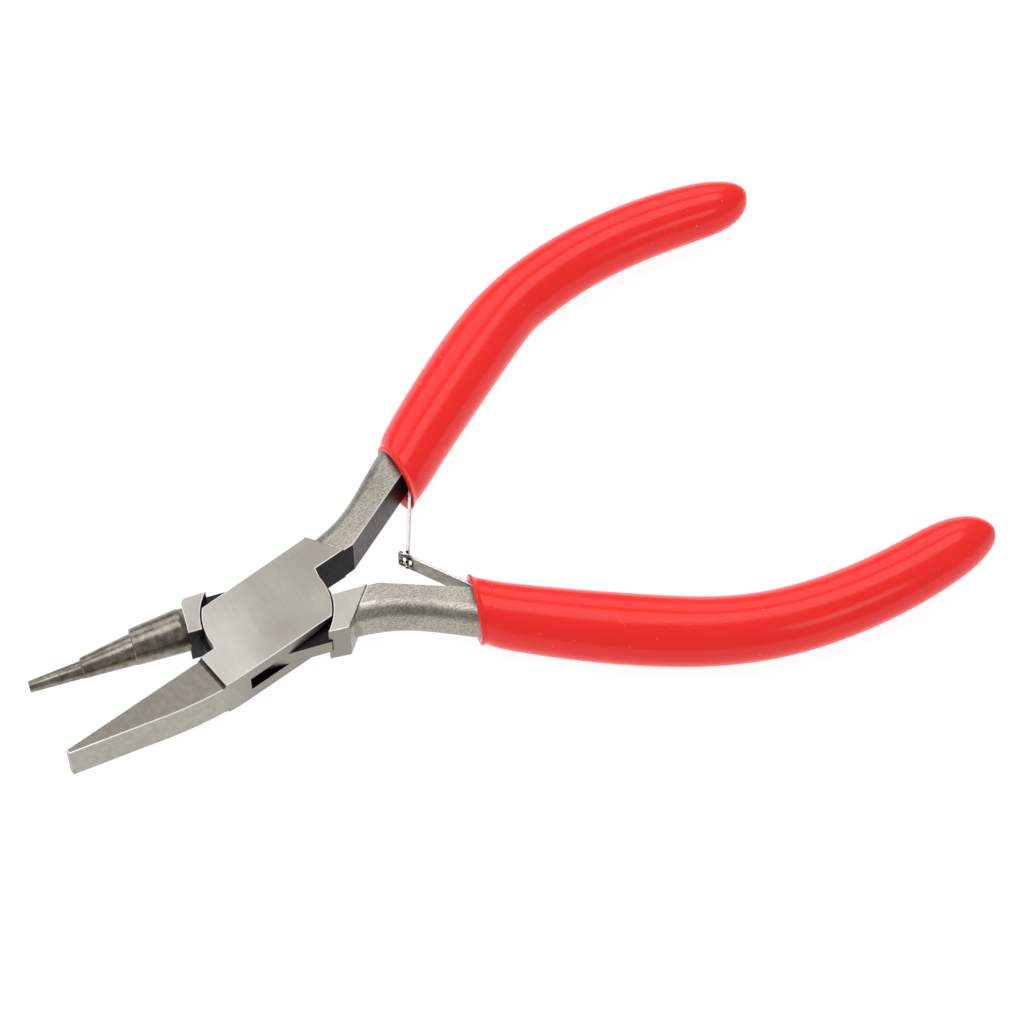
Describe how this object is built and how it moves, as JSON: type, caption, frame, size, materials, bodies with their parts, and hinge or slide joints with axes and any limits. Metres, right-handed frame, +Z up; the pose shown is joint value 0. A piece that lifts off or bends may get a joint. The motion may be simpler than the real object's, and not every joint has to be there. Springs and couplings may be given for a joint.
{
  "type": "wire looping pliers",
  "caption": "Hand pliers with a box joint: a stepped round jaw closes on a flat jaw, sprung open by hooked leaf springs, with dipped vinyl grips.",
  "frame": {"origin": "on the pivot axis, at the underside of the ground joint", "axes": "+X from the pivot towards the handle ends, midway between the two halves; +Y towards the handle of the slotted half; +Z up out of the flat face of the joint, along the pivot axis"},
  "size_m": [0.1237, 0.0769, 0.0092],
  "materials": {
    "satin_steel": "satin ground",
    "ground_steel": "ground, polished on the round jaw",
    "rivet_steel": "ground flush",
    "spring_steel": "bright rolled",
    "red_vinyl": "glossy dipped vinyl"
  },
  "bodies": {
    "slotted": {"slotted_half": "satin_steel", "pivot_rivet": "rivet_steel", "upper_grip": "red_vinyl", "upper_spring_rivet": "rivet_steel"},
    "tongue": {"tongue_half": "ground_steel", "lower_grip": "red_vinyl", "lower_spring_rivet": "rivet_steel"},
    "upper_leaf": {"upper_leaf_spring": "spring_steel"},
    "lower_leaf": {"lower_leaf_spring": "spring_steel"}
  },
  "joints": [
    {"name": "pivot", "type": "hinge", "parent": "slotted", "child": "tongue", "pos_m": [0, 0, 0.0034], "axis": [0, 0, 1], "range_deg": [-5, 20.74], "stiffness_Nm_per_rad": 0.5},
    {"name": "upper_leaf_flex", "type": "hinge", "parent": "slotted", "child": "upper_leaf", "pos_m": [0.02743, 0.01179, 0.0034], "axis": [0, 0, 1], "range_deg": [-21.5, 5.5], "deforming": ["upper_leaf_spring"]},
    {"name": "lower_leaf_flex", "type": "hinge", "parent": "tongue", "child": "lower_leaf", "pos_m": [0.02764, -0.01065, 0.0034], "axis": [0, 0, 1], "range_deg": [-5.5, 21.5], "deforming": ["lower_leaf_spring"]}
  ],
  "couplings": [
    {"joint": "upper_leaf_flex", "follows": "pivot", "ratio": -1},
    {"joint": "lower_leaf_flex", "follows": "pivot", "ratio": 0.96}
  ]
}
